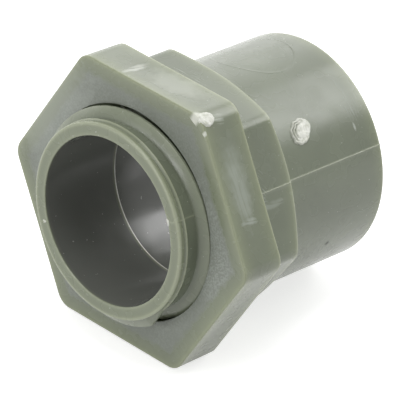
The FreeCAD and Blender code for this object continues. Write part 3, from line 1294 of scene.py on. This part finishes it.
@dataclass
class Locknut:
    """The one-piece hexagonal locknut with its female thread.

    Lengths are in millimetres, angles in radians.
    """

    dresser: Dresser
    thread: ThreadSizes
    torn: bpy.types.Material
    body_turn: float
    apothem: float = 13.5
    thickness: float = 4.8
    draft: float = math.radians(1.2)
    corner_round: float = 1.8
    seat_gap: float = 0.15
    thread_clearance: float = 0.07
    thread_setback: float = 0.15
    ridge_root: float = 0.15
    countersink: float = 0.02
    sink_depth: float = 0.08
    skin: float = 0.005
    # Spot, reach, slant, strength, fineness, colour and density of each patch; one is a painted highlight
    scuffs_and_sheen: tuple[ScuffOrSheen, ...] = (
        # Right flat: a pale smear over its middle
        ScuffOrSheen(Side(-30.0, -1.2, -2.7), (5.2, 2.0), 4.0, 0.3, 0.0, (172, 179, 168)),
        ScuffOrSheen(Side(-30.0, 0.0, -2.8), (4.6, 1.3), 4.0, 0.25, 3.0, (186, 192, 184), 0.75),
        ScuffOrSheen(Side(-30.0, 2.9, -2.7), (0.5, 1.3), 84.0, 0.36, 5.0, density=0.7),
        # Painted highlight: a pale smear over the top flat, standing for its wavy reflection
        ScuffOrSheen(Side(-90.0, 1.6, -2.1), (4.4, 2.0), 12.0, 0.42, 0.0, (202, 206, 194)),
        ScuffOrSheen(Side(-90.0, -2.8, -3.0), (0.55, 1.9), 78.0, 0.7, 2.6, (226, 229, 220), 0.7),
        ScuffOrSheen(Side(-60.0, -0.35, -4.7, 14.5), (0.7, 0.7), 0.0, 0.95, 0.0, (224, 226, 214)),
        ScuffOrSheen(Side(-58.0, 0.0, -2.9), (0.8, 0.9), 84.0, 0.4, 4.0, (205, 210, 200), 0.6),
        ScuffOrSheen(Side(-55.0, 0.0, -4.9, 14.6), (0.3, 0.14), 0.0, 0.9, 0.0, (226, 229, 218)),
        # A pale band along the upper left edges of the front face
        ScuffOrSheen(Side(-150.0, 0.0, -4.95, 10.0), (8.5, 0.3), 0.0, 0.34, 0.0, (184, 189, 182)),
    )
    plastic: bpy.types.Material = field(init=False)

    def __post_init__(self) -> None:
        """Mix the nut's plastic, with the grain on its front face."""
        self.plastic = MouldedPvc(
            "nut_pvc", self.dresser.pose, (121, 128, 108), (143, 150, 121), (172, 178, 144),
            grain_face=self.front, scuffs_and_sheen=self.scuffs_and_sheen,
        ).build()

    @property
    def rear(self) -> float:
        """Height of the face towards the flange."""
        return -self.seat_gap

    @property
    def front(self) -> float:
        """Height of the face towards the mouth."""
        return self.rear - self.thickness

    @property
    def front_apothem(self) -> float:
        """Distance from the axis to a flat's front edge, which the draft makes the widest."""
        return self.apothem + self.thickness * math.tan(self.draft)

    @property
    def hole_r(self) -> float:
        """Radius at the bottom of the female thread."""
        return self.thread.crest_r + self.thread_clearance

    def dress(self, ridges: RidgeTree) -> None:
        """Make every piece of the nut.

        Args:
            ridges: The tree that sweeps thread ridges.
        """
        shell = self.dresser.piece("nut_blank", self._shell(), Body.NUT, Slot.NUT, self.plastic)
        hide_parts(Body.NUT.value)
        self.dresser.piece("nut_thread", self._thread(ridges), Body.NUT, Slot.NUT, self.plastic)
        scar = self._gate().mesh("nut_gate_scar")
        self.dresser.piece("nut_gate_scar", scar, Body.NUT, Slot.NUT, self.torn)

    def _shell(self) -> bpy.types.Mesh:
        """Make the blank with its hole.

        Returns:
            The mesh, upright, with the light at its edges in an attribute.
        """
        corner_span = math.radians(6.0)
        angles = column_angles(corner_span, ())
        front_hexagon = hexagon_radius(angles, self.front_apothem - self.skin, self.corner_round)
        rear_hexagon = hexagon_radius(angles, self.apothem, self.corner_round)
        wide = self.hole_r + self.countersink
        loft = Loft(angles, [
            Bend(wide, self.front, 0.03, rows=10, edge=0.3, rim=0.0),
            Bend(front_hexagon, self.front, 0.16, rows=16, edge=0.55),
            Bend(rear_hexagon, self.rear, 0.15, rows=8, edge=0.9),
            Bend(wide, self.rear, 0.05, rows=1),
            Bend(self.hole_r, self.rear - self.countersink, 0.05, rows=10, edge=0.0),
            Bend(self.hole_r, self.front + self.countersink, 0.05, rows=1, edge=0.0),
        ])
        loft.r = loft.r - self._sink(loft)
        return loft.mesh("nut_blank")

    def _sink(self, loft: Loft) -> np.ndarray:
        """How far the middle of each flat has sunk while the moulding cooled.

        Args:
            loft: The plain sections.

        Returns:
            The depth in millimetres at every point.
        """
        narrowed, uneven, wave_turns, wall = 1.15, 0.35, 3.1, 1.0
        from_flat = (loft.angles % HEX_STEP) - HEX_STEP / 2
        across = np.cos(np.clip(from_flat / (HEX_STEP / 2) * narrowed, -1, 1) * math.pi / 2) ** 2
        depth = (loft.z - self.front) / self.thickness
        along = np.sin(np.clip(depth, 0, 1) * math.pi) ** 1.5
        along = along * (1 + uneven * np.sin(wave_turns * loft.angles / HEX_STEP + 2 * depth))
        outside = loft.r > self.hole_r + wall
        return self.sink_depth * across * along * outside

    def _thread(self, ridges: RidgeTree) -> bpy.types.Mesh:
        """Make the female thread, half a pitch from the spigot's own ridge.

        Args:
            ridges: The tree that sweeps thread ridges.

        Returns:
            The mesh, upright and turned with the body's thread.
        """
        thread, clearance, rear_setback, spare_turn = self.thread, 0.12, 0.02, 0.5
        crest_r = thread.root_r + clearance
        base_r = self.hole_r + self.ridge_root
        crest_width = thread.pitch - thread.base_width(thread.depth) - 2 * clearance
        start = -thread.spigot_length + thread.start_setback + thread.pitch / 2
        slope = math.tan(math.radians(thread.flank_angle))
        mesh = ridges.make("nut_thread", {
            "Crest Radius": crest_r, "Base Radius": base_r, "Crest Width": crest_width,
            "Base Width": crest_width + 2 * (base_r - crest_r) * slope,
            "Pitch": thread.pitch, "Turns": (self.rear - start) / thread.pitch + spare_turn,
            "Profile Turn": ThreadSide.INWARD.value, "Run-in Radius": 2 * base_r,
            "Cone Radius": base_r, "Crest Light": 0.0,
            "Low Plane": self.front - start + self.thread_setback,
            "High Plane": self.rear - start - rear_setback,
        }, self.plastic)
        turn = Matrix.Rotation(self.body_turn + math.radians(thread.start_angle), 4, "Z")
        mesh.transform(Matrix.Translation((0, 0, start)) @ turn)
        return mesh

    def _gate(self) -> TornGate:
        """The torn gate on one corner, level with the front face.

        Returns:
            The stub.
        """
        corner = hexagon_radius(np.array([0.0]), self.front_apothem, self.corner_round)[0]
        side, half_length, buried = math.radians(-59.4), 0.8, 0.06
        out = Vector((math.cos(side), math.sin(side), 0))
        centre = out * (corner - buried) + Vector((0, 0, self.front + half_length))
        return TornGate(
            centre, out, along=half_length, around=0.8, height=0.2, wall_r=self.corner_round, seed=5.0
        )


def towards(azimuth: float, height: float) -> Vector:
    """Direction from the object to a lamp or to the camera.

    Args:
        azimuth: Its side, in degrees: 0 is in front, towards -Y, and 90 towards +X.
        height: Its angle above the floor, in degrees.

    Returns:
        The direction, of length 1.
    """
    turn, lift = math.radians(azimuth), math.radians(height)
    return Vector((math.sin(turn) * math.cos(lift), -math.cos(turn) * math.cos(lift), math.sin(lift)))


@dataclass(frozen=True)
class Softbox:
    """A rectangular studio lamp that looks at the object.

    Args:
        name: The lamp's name.
        azimuth: Its side, in degrees: 0 is in front, towards -Y, and 90 towards +X.
        height: Its angle above the floor, in degrees.
        size: Its two sides, in metres.
        power: Its power, in watts.
        distance: How far it stands from the object, in metres.
    """

    name: str
    azimuth: float
    height: float
    size: tuple[float, float]
    power: float
    distance: float = 0.45

    def place(self) -> None:
        """Add the lamp to the scene."""
        lamp = bpy.data.lights.new(self.name, "AREA")
        lamp.shape = "RECTANGLE"
        lamp.size, lamp.size_y = self.size
        lamp.energy = self.power
        back = towards(self.azimuth, self.height)
        stand = bpy.data.objects.new(self.name, lamp)
        stand.location = back * self.distance
        stand.rotation_euler = (-back).to_track_quat("-Z", "Y").to_euler()
        bpy.context.scene.collection.objects.link(stand)


@dataclass
class Studio:
    """Camera, floor, lamps and surroundings.

    Args:
        floor_level: Height of the floor, in metres.
        camera_azimuth: The camera's side, in degrees.
        camera_height: Its angle above the floor, in degrees.
        camera_roll: Its turn about its own axis, in degrees.
        camera_distance: How far it stands from its aim, in metres.
        aim: The point it looks at, in millimetres.
        aim_drop: How far below that point the picture's middle lies, in millimetres.
        lens: Its focal length, in millimetres.
        sensor: Width of its sensor, in millimetres.
        surround: Strength of the grey light all round.
        floor_half: Half the floor's width, in metres.
        floor_glow: What the floor adds for the camera, so that it shows white.
        lamps: The softboxes.
    """

    floor_level: float
    camera_azimuth: float = 45.476
    camera_height: float = 34.010
    camera_roll: float = -0.186
    camera_distance: float = 0.5313
    aim: tuple[float, float, float] = (2.26, 2.173, -0.051)
    aim_drop: float = 0.146
    lens: float = 506.1
    sensor: float = 36.0
    surround: float = 0.02
    floor_half: float = 1.5
    floor_glow: float = 0.7
    lamps: tuple[Softbox, ...] = (
        Softbox("back_softbox", 168.0, 31.0, (0.3, 0.17), 0.82),
        Softbox("back_side_softbox", 205.0, 30.0, (0.25, 0.17), 0.18),
        Softbox("back_top_softbox", 185.0, 58.0, (0.3, 0.2), 0.22),
        Softbox("back_left_top_softbox", 240.0, 50.0, (0.22, 0.22), 0.12),
        Softbox("back_left_softbox", 255.0, 32.0, (0.2, 0.2), 0.12),
        Softbox("back_left_low_softbox", 230.0, 12.0, (0.3, 0.18), 0.19),
        Softbox("left_softbox", 275.0, 15.0, (0.35, 0.2), 0.26),
        Softbox("overhead_softbox", 0.0, 88.0, (0.22, 0.22), 0.75),
        Softbox("front_softbox", 345.0, 12.0, (0.3, 0.15), 0.67),
        Softbox("front_top_softbox", 0.0, 50.0, (0.2, 0.2), 0.34),
        Softbox("right_softbox", 100.0, 12.0, (0.15, 0.15), 0.28),
    )

    def build(self) -> None:
        """Add everything that isn't part of the object."""
        self._camera()
        self._floor()
        self._world()
        for lamp in self.lamps:
            lamp.place()
        bpy.context.scene.view_settings.view_transform = "Standard"

    def _camera(self) -> None:
        """Put the camera at the photograph's viewing angle."""
        data = bpy.data.cameras.new("camera")
        data.lens, data.sensor_width = self.lens, self.sensor
        data.clip_start, data.clip_end = 0.05, 20.0
        back = towards(self.camera_azimuth, self.camera_height)
        level = (-back).to_track_quat("-Z", "Y").to_matrix()
        view = level @ Matrix.Rotation(math.radians(self.camera_roll), 3, "Z")
        camera = bpy.data.objects.new("camera", data)
        aim = Vector(self.aim) * MM - view @ Vector((0, self.aim_drop * MM, 0))
        camera.matrix_world = Matrix.Translation(aim + back * self.camera_distance) @ view.to_4x4()
        bpy.context.scene.collection.objects.link(camera)
        bpy.context.scene.camera = camera

    def _floor(self) -> None:
        """Lay a pale floor under the object, white to the camera where no shadow falls."""
        half = self.floor_half
        corners = [(-half, -half), (half, -half), (half, half), (-half, half)]
        mesh = bpy.data.meshes.new("floor")
        mesh.from_pydata([(x, y, self.floor_level) for x, y in corners], [], [(0, 1, 2, 3)])
        floor = bpy.data.objects.new("floor", mesh)
        bpy.context.scene.collection.objects.link(floor)
        material, sheet = empty_material("floor_paper")
        paper = sheet.add("ShaderNodeBsdfDiffuse", {"Color": (0.8, 0.8, 0.8, 1)})
        glow = sheet.add("ShaderNodeEmission", {"Color": WHITE, "Strength": self.floor_glow})
        share = self._shows_surround(sheet)
        lit = sheet.add("ShaderNodeAddShader", {0: paper.outputs[0], 1: glow.outputs[0]})
        either = sheet.add("ShaderNodeMixShader", {0: share, 1: paper.outputs[0], 2: lit.outputs[0]})
        sheet.add("ShaderNodeOutputMaterial", {"Surface": either.outputs[0]})
        material.cycles.emission_sampling = "NONE"
        mesh.materials.append(material)

    def _world(self) -> None:
        """Surround the object with even grey light that the camera sees as white."""
        world = bpy.data.worlds.new("surroundings")
        bpy.context.scene.world = world
        world.use_nodes = True
        sheet = NodeSheet(world.node_tree)
        soft = sheet.add("ShaderNodeBackground", {"Color": WHITE, "Strength": self.surround})
        white = sheet.add("ShaderNodeBackground", {"Color": WHITE, "Strength": 1.0})
        share = self._shows_surround(sheet)
        either = sheet.add("ShaderNodeMixShader", {0: share, 1: soft.outputs[0], 2: white.outputs[0]})
        sheet.add("ShaderNodeOutputWorld", {"Surface": either.outputs[0]})
        world.cycles.sampling_method = "NONE"

    def _shows_surround(self, sheet: NodeSheet) -> bpy.types.NodeSocket:
        """Which rays show the surroundings white.

        Args:
            sheet: Sheet of the floor's material or of the world.

        Returns:
            1 for rays that are seen straight, mirrored or through glass, else 0.
        """
        seen = sheet.add("ShaderNodeLightPath").outputs
        mirrored = sheet.math("MAXIMUM", seen["Is Glossy Ray"], seen["Is Transmission Ray"])
        return sheet.math("MAXIMUM", seen["Is Camera Ray"], mirrored)


def main() -> None:
    """Dress both pieces and set up the studio."""
    logging.basicConfig(level=logging.INFO, format="%(name)s %(message)s")
    record = frame["record"]
    pose = RestingPose.from_record(record)
    threaded = mount_of(record, "box_thread")["dims"]
    thread = ThreadSizes(threaded["r_mm"], threaded["length_mm"])
    dresser = Dresser(pose)
    ridges = RidgeTree()
    torn = TornPlastic("torn_plastic").build()
    body = MouldedBody(
        dresser, thread, mount_of(record, "wireway")["dims"]["r_mm"],
        mount_of(record, "conduit_socket")["dims"]["r_mm"], torn,
    )
    body.dress(ridges)
    Locknut(dresser, thread, torn, body.turn).dress(ridges)
    Studio(floor_level=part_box(Body.NUT.value)[0].z).build()


if __name__ == "__main__":
    main()
